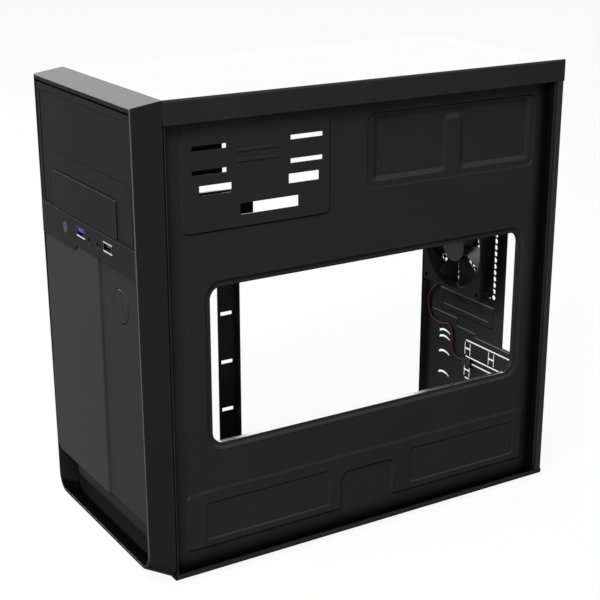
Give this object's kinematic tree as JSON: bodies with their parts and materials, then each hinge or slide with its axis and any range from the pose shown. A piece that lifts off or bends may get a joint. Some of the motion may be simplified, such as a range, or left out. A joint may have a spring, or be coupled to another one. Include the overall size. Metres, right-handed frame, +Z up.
{
  "type": "micro ATX pc case",
  "caption": "Black tower pc case with open sides, a pressed motherboard tray with a large window, a rear fan, drive bays and a moulded front with buttons and ports.",
  "frame": {"origin": "midway along the overall width and depth, on the surface that the feet stand on", "axes": "+Z up, front facing -Y, +X towards the side of the motherboard tray"},
  "size_m": [0.166, 0.368, 0.355],
  "materials": {
    "black_steel": "semi-gloss black powder coat on folded sheet steel",
    "front_moulding": "fine-grained black moulded plastic",
    "front_panel": "black moulded plastic with a slight sheen",
    "button_plastic": "violet-grey glossy plastic",
    "black_plastic": "black plastic",
    "blue_plastic": "blue plastic",
    "plated_steel": "bright plated steel",
    "brass": "turned brass",
    "fan_plastic": "black moulded plastic",
    "lead_sleeve": "orange-brown insulated wires",
    "circuit_board": "green circuit board",
    "rubber": "black rubber"
  },
  "bodies": {
    "case": {"top_cover": "black_steel", "motherboard_tray": "black_steel", "rear_panel": "black_steel", "bottom_pan": "black_steel", "front_plate": "black_steel", "left_post": "black_steel", "upper_cage_wall": "black_steel", "hdd_cage": "black_steel", "psu_ledge": "black_steel", "standoffs": "brass", "fan_frame": "fan_plastic", "fan_screws": "black_steel", "fan_lead": "lead_sleeve", "fan_plug": "black_plastic", "bezel_frame": "front_moulding", "fascia_ring": "front_moulding", "bay_cover_upper": "front_panel", "bay_cover_lower": "front_panel", "bay_cover_small": "front_panel", "panel_left": "front_panel", "panel_right": "front_panel", "name_plate": "front_moulding", "power_switch": "black_plastic", "io_board": "circuit_board", "usb3_port": "plated_steel", "usb3_tongue": "blue_plastic", "usb2_port": "plated_steel", "usb2_tongue": "black_plastic", "audio_jacks": "black_plastic", "feet": "rubber"},
    "power_button": {"power_button": "black_plastic"},
    "reset_button": {"reset_button": "button_plastic"},
    "fan_rotor": {"fan_rotor": "fan_plastic"}
  },
  "joints": [
    {"name": "power_press", "type": "slide", "parent": "case", "child": "power_button", "axis": [0, 1, 0], "range_m": [0, 0.0015], "stiffness_N_per_m": 400},
    {"name": "reset_press", "type": "slide", "parent": "case", "child": "reset_button", "axis": [0, 1, 0], "range_m": [0, 0.001], "stiffness_N_per_m": 400},
    {"name": "fan_spin", "type": "hinge", "parent": "case", "child": "fan_rotor", "pos_m": [-0.0285, 0.17505, 0.181], "axis": [0, 1, 0], "continuous": true}
  ]
}
